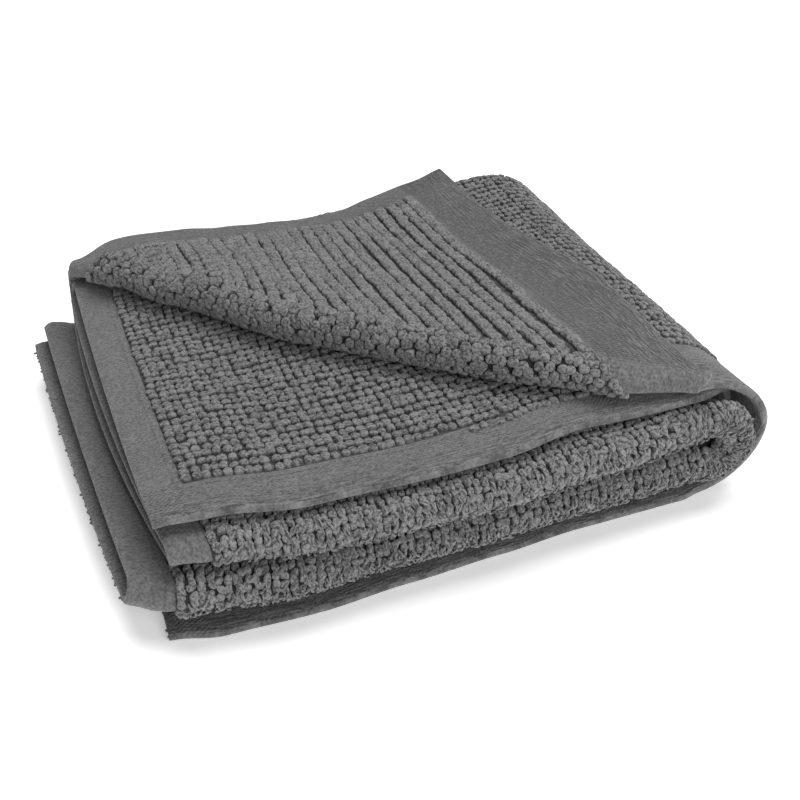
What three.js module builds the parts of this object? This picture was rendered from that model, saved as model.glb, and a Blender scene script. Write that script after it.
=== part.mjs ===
import * as THREE from "three";

// Sizes in millimetres, before the towel is centred on its base
const LAYER_PITCH = 7.25;
const PILE_THICKNESS = 6.1;
const HEM_THICKNESS = 3.4;
const SIDE_HEM_WIDTH = 13;
const TOP_HEM_WIDTH = 24;
const INNER_HEM_WIDTH = 16.5;
const HEM_STEP = 1.6;
const END_FOLD_X = 196;
const BACK_FOLD_Y = 178.5;
const FOLD_STEPS = 8;
const END_FOLD_STEPS = 12;
const ROLL_STEPS = 8;

// Where the front edges lie along the stack, and how far the back edge leans out
const EDGES = [
  { x: 0, top: 0, seventh: 1.5, upperFold: 2, lowerFold: 6, second: 8, bottom: -2, back: 0 },
  { x: 18, top: 0, seventh: -1, upperFold: -2.5, lowerFold: -5, second: 6, bottom: -6.5, back: 0 },
  { x: 50, top: 0, seventh: -7, upperFold: -8, lowerFold: -9, second: 4, bottom: -7.5, back: 1 },
  { x: 84, top: 0, seventh: -7.6, upperFold: -8.7, lowerFold: -7, second: 4, bottom: -5, back: 3 },
  { x: 118, top: 0, seventh: -7, upperFold: -9.5, lowerFold: -7, second: 4, bottom: -3, back: 5 },
  { x: 152, top: 0, seventh: -1.5, upperFold: -6, lowerFold: -5, second: 5, bottom: -0.5, back: 10 },
  { x: 196, top: -2.2, seventh: -1.5, upperFold: -3, lowerFold: -3, second: 4, bottom: 0, back: 17 },
];
const LOW_BACK = 5;
const LOW_BACK_LENGTH = 50;

// Shape of the end fold near the front: the folded edges swell, the cloth round them lies back
const END_LEAN = 7;
const END_STRETCH = 0.2;
const FOLD_REACH = 5;
const FOLD_REACH_DEPTH = 12;
const FOLD_RISE = 0.8;
const FOLD_RISE_FROM = 150;
const INNER_TUCK = 14;
const INNER_TUCK_TURN = 0.45;
const INNER_REACH = 3.5;
const INNER_REACH_DEPTH = 12;
const END_SAG = 2;
const END_SAG_FROM = 140;
const END_SAG_DEPTH = 40;
const SHOULDER = 0.12;

// Where the left end of each layer lies, counted from the bottom, and how far its hem droops
const LEFT_ENDS = [
  { layer: "bottom", front: 0, middle: 1, back: 0, droop: 0 },
  { layer: "second", front: 1, middle: 0, back: 0, droop: 2 },
  { layer: "third", front: -12, middle: -17.8, back: -20.6, droop: 1 },
  { layer: "fourth", front: -9.2, middle: -13.2, back: -15.2, droop: 1 },
  { layer: "fifth", front: 4, middle: -4.3, back: -2.2, droop: 1.5 },
  { layer: "sixth", front: 3, middle: -2.8, back: -2, droop: 1.2 },
  { layer: "seventh", front: 0.8, middle: -0.7, back: 0.3, droop: 1.5 },
  { layer: "top", front: 0, middle: 0, back: 0, droop: 3.2 },
];
const DROOP_LENGTH = 26;

// Shape of the corner that is turned back over the top, along its fold from left to right
const TURN = [
  { along: 0, radius: 2.6, bulge: -2 },
  { along: 0.1, radius: 4.9, bulge: 1.2 },
  { along: 0.2, radius: 5.2, bulge: 7.4 },
  { along: 0.45, radius: 5.0, bulge: 19.2 },
  { along: 0.74, radius: 4.6, bulge: 19 },
  { along: 0.88, radius: 4.0, bulge: 14.3 },
  { along: 1, radius: 2.3, bulge: 3 },
];
const TURN_REACH = 0.955;
const TURN_SETTLE = 26;
const FLAT_SHIFT = 50;
const BULGE_SHIFT = 120;
const TURN_END_X = 5;

// Bow of the turned corner's left edge, by distance from its tip, and of its right edge
const LEFT_BOW = [
  { v: 0, bow: 1.5 },
  { v: 18, bow: 5.5 },
  { v: 40, bow: 8.5 },
  { v: 54, bow: 10.5 },
  { v: 72, bow: 7.7 },
  { v: 90, bow: 4 },
  { v: 108, bow: 0 },
  { v: 126, bow: -4 },
  { v: 162, bow: -6 },
  { v: 178.5, bow: -2 },
];
const LEFT_BOW_START = 14;
const LEFT_BOW_SPAN = 90;
const RIGHT_BOW = 6;
const RIGHT_BOW_SPAN = 70;
const HEM_REST = 5.6;
const TIP_RISE = 7;
const TIP_LENGTH = 75;

// Legs of one half of the stack, by distance from the middle plane
const LEG_HEIGHT = {
  one: 0.5 * LAYER_PITCH,
  two: 1.5 * LAYER_PITCH,
  inner: 2.5 * LAYER_PITCH,
  outer: 3.5 * LAYER_PITCH,
};
const LEG_LAYERS = {
  one: { lower: 3, upper: 4 },
  two: { lower: 2, upper: 5 },
  inner: { lower: 1, upper: 6 },
  outer: { lower: 0, upper: 7 },
};
const MIDDLE_Z = LEG_HEIGHT.outer + PILE_THICKNESS / 2;

function blend(a, b, t) {
  return a + (b - a) * t;
}

function lookup(table, key, at, column) {
  let i = 0;
  while (i < table.length - 2 && at > table[i + 1][key]) {
    i += 1;
  }
  const span = table[i + 1][key] - table[i][key];
  const t = Math.min(1, Math.max(0, (at - table[i][key]) / span));
  return blend(table[i][column], table[i + 1][column], t * t * (3 - 2 * t));
}

function smoothStep(low, high, x) {
  const t = Math.min(1, Math.max(0, (x - low) / (high - low)));
  return t * t * (3 - 2 * t);
}

function leftEnd(layer, depth) {
  const { front, middle, back } = LEFT_ENDS[layer];
  const bow = middle - (front + back) / 2;
  return blend(front, back, depth) + 4 * bow * depth * (1 - depth);
}

function droopAt(layer, u) {
  return LEFT_ENDS[layer].droop * Math.max(0, 1 - u / DROOP_LENGTH) ** 2;
}

// Column positions from the left end, with one pair at the hem and one at the matching row
const hemRow = (v) => END_FOLD_X * (1 - v / BACK_FOLD_Y);
const ACROSS = [
  0,
  SIDE_HEM_WIDTH - HEM_STEP / 2,
  SIDE_HEM_WIDTH + HEM_STEP / 2,
  34,
  55,
  77,
  99,
  120,
  139,
  155,
  hemRow(TOP_HEM_WIDTH + HEM_STEP / 2),
  hemRow(TOP_HEM_WIDTH - HEM_STEP / 2),
  hemRow(9),
  END_FOLD_X,
];
const LAST = ACROSS.length - 1;
const TOP_ROWS = ACROSS.map((x) => BACK_FOLD_Y * (1 - x / END_FOLD_X)).reverse();
const INNER_ROWS = [
  0,
  6,
  INNER_HEM_WIDTH - HEM_STEP / 2,
  INNER_HEM_WIDTH + HEM_STEP / 2,
  40,
  75,
  110,
  145,
  BACK_FOLD_Y,
];

// The columns run from the lower left end round the end fold to the upper left end
const columns = [];
for (let i = 0; i < LAST; i += 1) {
  columns.push({ half: "lower", u: ACROSS[i], turn: 0 });
}
for (let k = 0; k <= END_FOLD_STEPS; k += 1) {
  const half = k < END_FOLD_STEPS ? "fold" : "upper";
  columns.push({ half, u: END_FOLD_X, turn: k / END_FOLD_STEPS, i: LAST });
}
for (let i = LAST - 1; i >= 0; i -= 1) {
  columns.push({ half: "upper", u: ACROSS[i], turn: 1, i });
}

// The rows run along the length of the cloth from one end hem to the other
const rows = [];
for (const v of INNER_ROWS) {
  rows.push({ from: "inner", to: "inner", share: 0, v, hem: INNER_HEM_WIDTH, place: "leg" });
}
for (let k = 1; k < FOLD_STEPS; k += 1) {
  rows.push({ from: "inner", to: "two", share: k / FOLD_STEPS, place: "back" });
}
const INNER_LEG = [1, 0.8, 0.55, 0.3, 0.1, 0.045, 0];
for (const depth of INNER_LEG) {
  rows.push({ from: "two", to: "two", share: 0, depth, place: "core" });
}
for (let k = 1; k < FOLD_STEPS; k += 1) {
  rows.push({ from: "two", to: "one", share: k / FOLD_STEPS, place: "front" });
}
for (const depth of [...INNER_LEG].reverse()) {
  rows.push({ from: "one", to: "one", share: 0, depth, place: "core" });
}
for (let k = 1; k < FOLD_STEPS; k += 1) {
  rows.push({ from: "one", to: "outer", share: k / FOLD_STEPS, place: "back" });
}
for (let j = LAST; j >= 0; j -= 1) {
  rows.push({ from: "outer", to: "outer", share: 0, v: TOP_ROWS[j], hem: TOP_HEM_WIDTH, place: "leg", j });
}

const EDGE_NAMES = {
  outer: { lower: "bottom", upper: "top" },
  inner: { lower: "second", upper: "seventh" },
  two: { lower: "lowerFold", upper: "upperFold" },
  one: { lower: "lowerFold", upper: "upperFold" },
};

function frontEdge(row, column) {
  const { lower, upper } = EDGE_NAMES[row.from];
  const below = lookup(EDGES, "x", column.u, lower);
  const above = lookup(EDGES, "x", column.u, upper);
  const edge = blend(below, above, column.turn);
  if (row.from !== "inner") {
    return edge;
  }
  return edge + INNER_TUCK * smoothStep(0, INNER_TUCK_TURN, Math.min(column.turn, 1 - column.turn));
}

function thicknessAt(row, column) {
  const onSide = column.u <= SIDE_HEM_WIDTH;
  const onEnd = row.place === "leg" && row.v <= row.hem;
  return onSide || onEnd ? HEM_THICKNESS : PILE_THICKNESS;
}

// Height from the middle plane and distance to the back of a row, at one column
function section(row, column) {
  const a = LEG_HEIGHT[row.from];
  const b = LEG_HEIGHT[row.to];
  const angle = Math.PI * row.share;
  const radius = Math.abs(b - a) / 2;
  const height = (a + b) / 2 + ((a - b) / 2) * Math.cos(angle);
  const spread = column.half === "lower" ? Math.max(0, 1 - column.u / LOW_BACK_LENGTH) ** 2 : 0;
  const back = BACK_FOLD_Y + lookup(EDGES, "x", column.u, "back") + LOW_BACK * spread;
  if (row.place === "back") {
    return { y: back + radius * Math.sin(angle), height, depth: 1 };
  }
  const edge = frontEdge(row, column);
  if (row.place === "front") {
    return { y: edge - radius * Math.sin(angle), height, depth: 0 };
  }
  const depth = row.place === "core" ? row.depth : row.v / BACK_FOLD_Y;
  return { y: blend(edge, back, depth), height, depth };
}

// How far the folded edges near the front swell at one column
function swellAt(row, column, depth) {
  const folded = (row.from === "one" || row.from === "two") && row.place !== "back";
  if (!folded || column.half === "lower") {
    return { out: 0, up: 0 };
  }
  const nearFront = Math.exp(-((depth * BACK_FOLD_Y / FOLD_REACH_DEPTH) ** 2));
  const angle = Math.PI * column.turn;
  const out = FOLD_REACH * Math.sin(angle) * nearFront;
  const level = smoothStep(FOLD_RISE_FROM, END_FOLD_X, column.u) * Math.max(0, -Math.cos(angle));
  return { out, up: out + FOLD_RISE * nearFront * level };
}

// Middle of the cloth on the end fold
function endFold(row, column, y, height, depth) {
  const end = END_FOLD_X + END_LEAN * depth ** 2;
  const angle = Math.PI * column.turn;
  const side = Math.sin(angle);
  const { out, up } = swellAt(row, column, depth);
  let reach = height * (1 + END_STRETCH * (1 - depth) ** 4) + out;
  if (row.from === "inner" && row.place === "leg") {
    reach += INNER_REACH * side * Math.exp(-((depth * BACK_FOLD_Y / INNER_REACH_DEPTH) ** 2));
  }
  const turned = column.turn > 0.5 && row.from === "outer";
  const cut = turned ? 1 + SHOULDER * (1 - depth) ** 4 : 1;
  const share = Math.cos(angle);
  const rise = -Math.sign(share) * Math.abs(share) ** cut * (height + up);
  const sag = turned ? END_SAG * -share * Math.max(0, 1 - (depth * BACK_FOLD_Y) / END_SAG_DEPTH) : 0;
  return new THREE.Vector3(end + reach * side ** cut, y, MIDDLE_Z + rise - sag);
}

// Middle of the cloth at one row and column, with the top corner still flat
function middleOf(row, column) {
  const { y, height, depth } = section(row, column);
  if (column.half === "fold") {
    return endFold(row, column, y, height, depth);
  }
  const end = END_FOLD_X + END_LEAN * depth ** 2;
  const from = LEG_LAYERS[row.from][column.half];
  const to = LEG_LAYERS[row.to][column.half];
  const left = blend(leftEnd(from, depth), leftEnd(to, depth), row.share);
  const droop = blend(droopAt(from, column.u), droopAt(to, column.u), row.share);
  const x = blend(left, end, column.u / END_FOLD_X);
  const { up } = swellAt(row, column, depth);
  let z = MIDDLE_Z + (column.half === "upper" ? height + up : -height) - droop;
  if (row.from === "outer" && row.to === "outer" && column.half === "lower") {
    z = thicknessAt(row, column) / 2;
  }
  return new THREE.Vector3(x, y, z);
}

// The diagonal fold of the top corner, from the back left to the front right
const TURN_ALONG = new THREE.Vector2(END_FOLD_X, -BACK_FOLD_Y).normalize();
const TURN_ACROSS = new THREE.Vector2(BACK_FOLD_Y, END_FOLD_X).normalize();
const TURN_LENGTH = Math.hypot(END_FOLD_X, BACK_FOLD_Y);
const TURN_OFFSET = TURN_ACROSS.x * END_FOLD_X;
const TOP_LAYER = LEFT_ENDS.length - 1;
const TOP_Z = MIDDLE_Z + LEG_HEIGHT.outer;

function turnAt(u, v) {
  const across = TURN_ACROSS.x * u + TURN_ACROSS.y * v - TURN_OFFSET;
  const along = (TURN_ALONG.x * u + TURN_ALONG.y * (v - BACK_FOLD_Y)) / TURN_LENGTH;
  const foot = new THREE.Vector2(u, v).addScaledVector(TURN_ACROSS, -across);
  return {
    across,
    foot,
    radius: lookup(TURN, "along", along, "radius"),
    bulge: lookup(TURN, "along", along, "bulge"),
  };
}

// A place on the top of the stack, with the lean of the back edge and of the end
function onTop(x, y, height) {
  const depth = y / BACK_FOLD_Y;
  const nearFront = Math.max(0, 1 - Math.max(0, y) / END_SAG_DEPTH);
  const sag = END_SAG * smoothStep(END_SAG_FROM, END_FOLD_X, x) * nearFront;
  return new THREE.Vector3(
    x + END_LEAN * depth ** 2 * (x / END_FOLD_X),
    y + lookup(EDGES, "x", x, "back") * depth,
    TOP_Z + height - sag - droopAt(TOP_LAYER, Math.max(0, x)),
  );
}

function flatTop(u, v) {
  const { across, bulge } = turnAt(u, v);
  const shift = bulge * Math.max(0, 1 - across / FLAT_SHIFT) ** 2;
  return onTop(u - TURN_ACROSS.x * shift, v - TURN_ACROSS.y * shift, 0);
}

// How far the turned corner reaches over the end fold
function endBow(u) {
  return TURN_END_X * Math.min(1, Math.max(0, u / END_FOLD_X)) ** 4;
}

function rollTop(u, v, share) {
  const { foot, radius, bulge } = turnAt(u, v);
  const angle = Math.PI * share;
  const shift = -bulge - radius * Math.sin(angle);
  const height = radius * (1 - Math.cos(angle));
  const place = onTop(foot.x + TURN_ACROSS.x * shift, foot.y + TURN_ACROSS.y * shift, height);
  place.x += share * endBow(foot.x);
  return place;
}

function turnedTop(u, v) {
  const { across, foot, radius, bulge } = turnAt(u, v);
  const far = -across;
  const shift = far * TURN_REACH - bulge * Math.max(0, 1 - far / BULGE_SHIFT);
  const near = Math.exp(-((far / TURN_SETTLE) ** 2));
  const onHem = u <= SIDE_HEM_WIDTH || v <= TOP_HEM_WIDTH;
  const height = blend(onHem ? HEM_REST : LAYER_PITCH, 2 * radius, near);
  const tip = TIP_RISE * Math.max(0, 1 - Math.hypot(u, v) / TIP_LENGTH) ** 2;
  const leftShare = Math.max(0, 1 - u / LEFT_BOW_SPAN) * smoothStep(0, LEFT_BOW_START, far);
  const leftBow = lookup(LEFT_BOW, "v", v, "bow") * leftShare;
  const rightBow = RIGHT_BOW * Math.sin((Math.PI * u) / END_FOLD_X) + endBow(u);
  const place = onTop(foot.x, foot.y, height + tip);
  place.x += TURN_ACROSS.x * shift + rightBow * Math.max(0, 1 - v / RIGHT_BOW_SPAN);
  place.y += TURN_ACROSS.y * shift - leftBow;
  return place;
}

// Nodes and triangles of the middle of the cloth
const nodes = [];
const triangles = [];

function addNode(position, thickness) {
  nodes.push({ position, thickness, normal: new THREE.Vector3() });
  return nodes.length - 1;
}

function addQuad(a, b, c, d) {
  triangles.push([a, b, c], [a, c, d]);
}

const isTop = (row, column) => row.place === "leg" && row.from === "outer" && column.half === "upper";
const grid = rows.map((row) => columns.map((column) => {
  const thickness = thicknessAt(row, column);
  if (!isTop(row, column)) {
    return addNode(middleOf(row, column), thickness);
  }
  const turned = column.i + row.j < LAST;
  return addNode(turned ? turnedTop(column.u, row.v) : flatTop(column.u, row.v), thickness);
}));

// The roll of the turned corner, one chain of nodes at each node of the diagonal
const chains = new Map();
const firstTopRow = rows.length - 1 - LAST;
const firstTopColumn = columns.length - 1 - LAST;
for (let i = 0; i <= LAST; i += 1) {
  const r = rows.length - 1 - (LAST - i);
  const c = columns.length - 1 - i;
  const thickness = thicknessAt(rows[r], columns[c]);
  const chain = [grid[r][c]];
  for (let k = 1; k <= ROLL_STEPS; k += 1) {
    chain.push(addNode(rollTop(ACROSS[i], TOP_ROWS[LAST - i], k / ROLL_STEPS), thickness));
  }
  chains.set(i, chain);
}

const onDiagonal = (r, c) => isTop(rows[r], columns[c]) && columns[c].i + rows[r].j === LAST;
const turnedNode = (r, c) => (onDiagonal(r, c) ? chains.get(columns[c].i)[ROLL_STEPS] : grid[r][c]);

for (let r = 0; r < rows.length - 1; r += 1) {
  for (let c = 0; c < columns.length - 1; c += 1) {
    const inTop = r >= firstTopRow && c >= firstTopColumn;
    const sum = inTop ? columns[c + 1].i + rows[r + 1].j : LAST;
    if (!inTop || sum >= LAST) {
      addQuad(grid[r][c], grid[r][c + 1], grid[r + 1][c + 1], grid[r + 1][c]);
    } else if (sum < LAST - 1) {
      addQuad(turnedNode(r, c), turnedNode(r, c + 1), turnedNode(r + 1, c + 1), turnedNode(r + 1, c));
    } else {
      const right = chains.get(columns[c].i);
      const left = chains.get(columns[c + 1].i);
      triangles.push([grid[r][c], left[0], right[0]]);
      for (let k = 0; k < ROLL_STEPS; k += 1) {
        addQuad(left[k], left[k + 1], right[k + 1], right[k]);
      }
      triangles.push([left[ROLL_STEPS], grid[r + 1][c + 1], right[ROLL_STEPS]]);
    }
  }
}

// Both faces of the cloth and the walls along its free edges
function closedCloth() {
  const edges = new Map();
  for (const [a, b, c] of triangles) {
    const ab = nodes[b].position.clone().sub(nodes[a].position);
    const ac = nodes[c].position.clone().sub(nodes[a].position);
    const normal = ab.cross(ac);
    for (const n of [a, b, c]) {
      nodes[n].normal.add(normal);
    }
    for (const [from, to] of [[a, b], [b, c], [c, a]]) {
      edges.set(`${from},${to}`, [from, to]);
    }
  }
  const points = [];
  for (const side of [1, -1]) {
    for (const { position, thickness, normal } of nodes) {
      points.push(position.clone().addScaledVector(normal.clone().normalize(), (side * thickness) / 2));
    }
  }
  const under = nodes.length;
  const faces = [];
  for (const [a, b, c] of triangles) {
    faces.push([a, b, c], [a + under, c + under, b + under]);
  }
  for (const [from, to] of edges.values()) {
    if (!edges.has(`${to},${from}`)) {
      faces.push([from, from + under, to + under], [from, to + under, to]);
    }
  }
  return { points, faces };
}

const { points, faces } = closedCloth();
const bounds = new THREE.Box3().setFromPoints(points);
const centre = bounds.getCenter(new THREE.Vector3());
const geometry = new THREE.BufferGeometry();
const shifted = points.map((p) => [p.x - centre.x, p.y - centre.y, p.z - bounds.min.z]);
geometry.setAttribute("position", new THREE.Float32BufferAttribute(shifted.flat(), 3));
geometry.setIndex(faces.flat());
geometry.computeVertexNormals();

const cloth = new THREE.MeshStandardMaterial({ color: 0x6b6b6d, roughness: 0.95, metalness: 0 });
const towel = new THREE.Mesh(geometry, cloth);
towel.name = "towel";

const part = new THREE.Group();
part.name = "folded_towel";
part.add(towel);

export default part;
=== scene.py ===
import math

import bpy
import numpy as np
from mathutils import Matrix


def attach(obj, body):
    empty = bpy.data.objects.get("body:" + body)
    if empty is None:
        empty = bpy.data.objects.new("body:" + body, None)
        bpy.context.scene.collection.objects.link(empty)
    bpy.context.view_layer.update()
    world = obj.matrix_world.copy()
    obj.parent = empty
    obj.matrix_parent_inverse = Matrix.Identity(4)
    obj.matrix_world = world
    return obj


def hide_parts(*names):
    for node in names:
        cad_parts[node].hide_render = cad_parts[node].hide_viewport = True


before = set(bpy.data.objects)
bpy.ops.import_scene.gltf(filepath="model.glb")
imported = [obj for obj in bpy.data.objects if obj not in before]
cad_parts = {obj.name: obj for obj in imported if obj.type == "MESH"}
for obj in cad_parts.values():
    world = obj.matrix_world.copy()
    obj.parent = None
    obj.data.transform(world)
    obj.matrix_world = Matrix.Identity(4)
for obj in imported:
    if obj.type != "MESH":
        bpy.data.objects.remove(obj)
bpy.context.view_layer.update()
rng = np.random.default_rng(41)

# Sizes in millimetres. The stack follows the solid, with fuller folds and a longer bow of the band's edge
PITCH = 7.25
PILE = 6.1
HEM = 3.4
SIDE_HEM = 13.0
TURNED_SIDE_HEM = 17.0
TOP_HEM = 24.0
INNER_HEM = 16.5
HEM_STEP = 1.6
END_X = 196.0
BACK_Y = 178.5
CENTRE = np.array([105.369, 96.644, 0.0])
EDGE_X = [0, 18, 50, 84, 118, 152, 196]
EDGES = {
    "seventh": [1.5, -1, -7, -7.6, -7, -1.5, -1.5],
    "upper_fold": [2, -2.5, -8, -8.7, -9.5, -6, -3],
    "lower_fold": [6, -5, -9, -7, -7, -5, -3],
    "second": [8, 6, 4, 4, 4, 5, 4],
    "bottom": [-2, -6.5, -7.5, -5, -3, -0.5, 0],
    "top": [0, 0, 0, 0, 0, 0, -2.2],
    "back": [0, 0, 1, 3, 5, 10, 17],
}
END_LEAN = 7.0
END_STRETCH = 0.2
FOLD_REACH = 6.5
FOLD_REACH_DEPTH = 9.0
INNER_TUCK = 14.0
INNER_TUCK_TURN = 0.45
INNER_REACH = 3.5
INNER_REACH_DEPTH = 12.0
LOW_BACK = 8.0
LOW_BACK_LENGTH = 40.0
FOLD_RISE = 2.0
FOLD_RISE_FROM = 150.0
END_SAG = 2.0
END_SAG_FROM = 140.0
END_SAG_DEPTH = 40.0
SHOULDER = 0.12

# Left end of each layer, from the bottom: front, middle and back place, and droop
LEFT_ENDS = [
    (0, 1, 0, 0),
    (1, 0, 0, 2),
    (-12, -17.8, -20.6, 1.0),
    (-9.2, -13.2, -15.2, 1.0),
    (4, -4.3, -2.2, 1.5),
    (3, -2.8, -2, 1.2),
    (0.8, -0.7, 0.3, 1.5),
    (0, 0, 0, 3.2),
]
DROOP_LENGTH = 26.0

# Dips of two layers: distance from the left end, width and depth
DIPS = {2: (7.0, 4.5, 2.0), 3: (10.0, 4.5, 2.4)}

# The diagonal fold of the turned corner, by share of its length
TURN_AT = [0, 0.1, 0.2, 0.45, 0.74, 0.88, 1]
TURN_RADIUS = [2.0, 4.6, 5.2, 5.0, 4.6, 4.0, 1.75]
TURN_BULGE = [-2, 1.2, 7.4, 19.2, 19, 14.3, 3]
TURN_END_X = 5.0
BAND_DROOP = 0.8
BAND_DROOP_FROM = 30.0
BAND_DROOP_TO = 90.0
TURN_REACH = 0.955
FLAT_SHIFT = 50.0
BULGE_SHIFT = 120.0
TURN_SETTLE = 26.0

# Bows of the turned corner's free edges
LEFT_BOW_AT = [0, 18, 40, 54, 72, 90, 108, 126, 162, 178.5]
LEFT_BOW = [1.5, 5.5, 8.5, 10.5, 7.7, 4, 0, -4, -6, -2]
LEFT_BOW_START = 14.0
LEFT_BOW_SPAN = 90.0
RIGHT_BOW = 6.0
RIGHT_BOW_SPAN = 70.0
BAND_EDGE_AT = [0, 28, 56, 70, 84, 98, 112, 126, 140, 154, 168, 182, 196]
BAND_EDGE = [0, -1, 0, 2, 4.75, 8.5, 10.5, 9, 7.25, 5.5, 2.5, 0.5, 0]
BAND_EDGE_SPAN = 30.0
HEM_REST = 5.6
HEM_EASE = 3.0
TIP_RISE = 7.0
TIP_LENGTH = 75.0

# Middle height of the four legs in half the stack, and their layers and front edges in both halves
HEIGHT = {"one": 0.5 * PITCH, "two": 1.5 * PITCH, "inner": 2.5 * PITCH, "outer": 3.5 * PITCH}
LAYERS = {"one": (3, 4), "two": (2, 5), "inner": (1, 6), "outer": (0, 7)}
EDGE_NAMES = {
    "outer": ("bottom", "top"),
    "inner": ("second", "seventh"),
    "two": ("lower_fold", "upper_fold"),
    "one": ("lower_fold", "upper_fold"),
}
MIDDLE_Z = HEIGHT["outer"] + PILE / 2
TOP_Z = MIDDLE_Z + HEIGHT["outer"]
TURN_LENGTH = math.hypot(END_X, BACK_Y)
ALONG = np.array([END_X, -BACK_Y]) / TURN_LENGTH
ACROSS = np.array([BACK_Y, END_X]) / TURN_LENGTH
TURN_OFFSET = ACROSS[0] * END_X

# Half thickness of the cloth under loops, and of terry that shows no loops
GROUND = 1.5
FILLED = 2.9

# Distance of loops along and between their rows
LOOP_PITCH = 3.8
ROW_PITCH = 4.9
TOP_PITCH = 3.2
TOP_ROW_PITCH = 3.75
REAR_PITCH = 2.9
REAR_ROW_PITCH = 3.9


def blend(a, b, t):
    return a + (b - a) * t


def lookup(keys, values, at):
    keys = np.asarray(keys, float)
    values = np.asarray(values, float)
    at = np.asarray(at, float)
    i = np.clip(np.searchsorted(keys, at, side="left") - 1, 0, len(keys) - 2)
    t = np.clip((at - keys[i]) / (keys[i + 1] - keys[i]), 0, 1)
    return blend(values[i], values[i + 1], t * t * (3 - 2 * t))


def edge_at(name, u):
    return lookup(EDGE_X, EDGES[name], u)


def left_end(layer, depth):
    front, middle, back, _ = LEFT_ENDS[layer]
    bow = middle - (front + back) / 2
    return blend(front, back, depth) + 4 * bow * depth * (1 - depth)


def droop_at(layer, u):
    droop = LEFT_ENDS[layer][3] * np.maximum(0, 1 - u / DROOP_LENGTH) ** 2
    if layer in DIPS:
        middle, width, depth = DIPS[layer]
        droop = droop + depth * np.exp(-(((u - middle) / width) ** 2))
    return droop


# A place across the cloth is U: from the lower left end round the end fold to the upper left end
FOLD_SPAN = 80.0
U_TOTAL = 2 * END_X + FOLD_SPAN


def split_u(big_u):
    """Half (0 lower, 1 fold, 2 upper), distance from the left end, and turn round the end fold."""
    big_u = np.asarray(big_u, float)
    turn = np.clip((big_u - END_X) / FOLD_SPAN, 0, 1)
    u = np.where(big_u <= END_X, big_u, np.where(big_u >= END_X + FOLD_SPAN, U_TOTAL - big_u, END_X))
    half = np.where(big_u <= END_X, 0, np.where(big_u >= END_X + FOLD_SPAN, 2, 1))
    return half, u, turn


def stack_at(kind, along, big_u):
    """Middle of the cloth in the stack, with the top corner flat.

    kind is a leg name, where along is the depth from front to back, or a fold
    "from>to:back" or "from>to:front", where along is the share of its half turn.
    """
    along = np.asarray(along, float)
    half, u, turn = split_u(big_u)
    low_back = np.where(half == 0, LOW_BACK * np.maximum(0, 1 - u / LOW_BACK_LENGTH) ** 2, 0)
    back = BACK_Y + edge_at("back", u) + low_back
    if ">" in kind:
        pair, place = kind.split(":")
        start, stop = pair.split(">")
        share = along
    else:
        start = stop = kind
        place = "leg"
        share = np.zeros_like(along)
    a = HEIGHT[start]
    b = HEIGHT[stop]
    angle = np.pi * share
    radius = abs(b - a) / 2
    height = (a + b) / 2 + (a - b) / 2 * np.cos(angle)
    below, above = EDGE_NAMES[start]
    edge = blend(edge_at(below, u), edge_at(above, u), turn)
    if kind == "inner":
        edge = edge + INNER_TUCK * smooth_step(0, INNER_TUCK_TURN, np.minimum(turn, 1 - turn))
    if place == "back":
        depth = np.ones_like(along)
        y = back + radius * np.sin(angle)
    elif place == "front":
        depth = np.zeros_like(along)
        y = edge - radius * np.sin(angle)
    else:
        depth = along
        y = blend(edge, back, depth)
    end = END_X + END_LEAN * depth ** 2
    swing = np.pi * turn
    reach = height * (1 + END_STRETCH * np.maximum(0, 1 - depth) ** 4)
    if start in ("one", "two") and place != "back":
        near_front = np.exp(-((depth * BACK_Y / FOLD_REACH_DEPTH) ** 2))
        spread_out = FOLD_REACH * np.sin(swing) * near_front
        risen = np.maximum(0, -np.cos(swing)) * (half > 0)
        rise = FOLD_RISE * near_front * smooth_step(FOLD_RISE_FROM, END_X, u) * risen
        reach = reach + spread_out
        height = height + spread_out + rise
    if kind == "inner":
        reach = reach + INNER_REACH * np.sin(swing) * np.exp(-((depth * BACK_Y / INNER_REACH_DEPTH) ** 2))
    fold_x = end + reach * np.sin(swing)
    fold_z = MIDDLE_Z - height * np.cos(swing)
    if kind == "outer":
        upper = np.maximum(0, -np.cos(swing))
        cut = 1 + SHOULDER * np.maximum(0, 1 - depth) ** 4 * (turn > 0.5)
        fold_x = end + reach * np.sin(swing) ** cut
        fold_z = np.where(turn > 0.5, MIDDLE_Z + height * upper ** cut, fold_z)
        fold_z = fold_z - END_SAG * upper * np.maximum(0, 1 - depth * BACK_Y / END_SAG_DEPTH)
    flat_x = []
    flat_z = []
    for side, sign in ((0, -1), (1, 1)):
        from_layer = LAYERS[start][side]
        to_layer = LAYERS[stop][side]
        left = blend(left_end(from_layer, depth), left_end(to_layer, depth), share)
        droop = blend(droop_at(from_layer, u), droop_at(to_layer, u), share)
        flat_x.append(blend(left, end, u / END_X))
        flat_z.append(MIDDLE_Z + sign * height - droop)
    if kind == "outer":
        on_hem = (u <= SIDE_HEM) | (along * BACK_Y <= TOP_HEM)
        flat_z[0] = np.where(on_hem, HEM / 2, PILE / 2)
    x = np.where(half == 0, flat_x[0], np.where(half == 2, flat_x[1], fold_x))
    z = np.where(half == 0, flat_z[0], np.where(half == 2, flat_z[1], fold_z))
    return np.stack(np.broadcast_arrays(x, y, z), axis=-1)


def turn_at(u, v):
    across = ACROSS[0] * u + ACROSS[1] * v - TURN_OFFSET
    along = (ALONG[0] * u + ALONG[1] * (v - BACK_Y)) / TURN_LENGTH
    radius = lookup(TURN_AT, TURN_RADIUS, along)
    bulge = lookup(TURN_AT, TURN_BULGE, along)
    return across, u - ACROSS[0] * across, v - ACROSS[1] * across, radius, bulge


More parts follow.
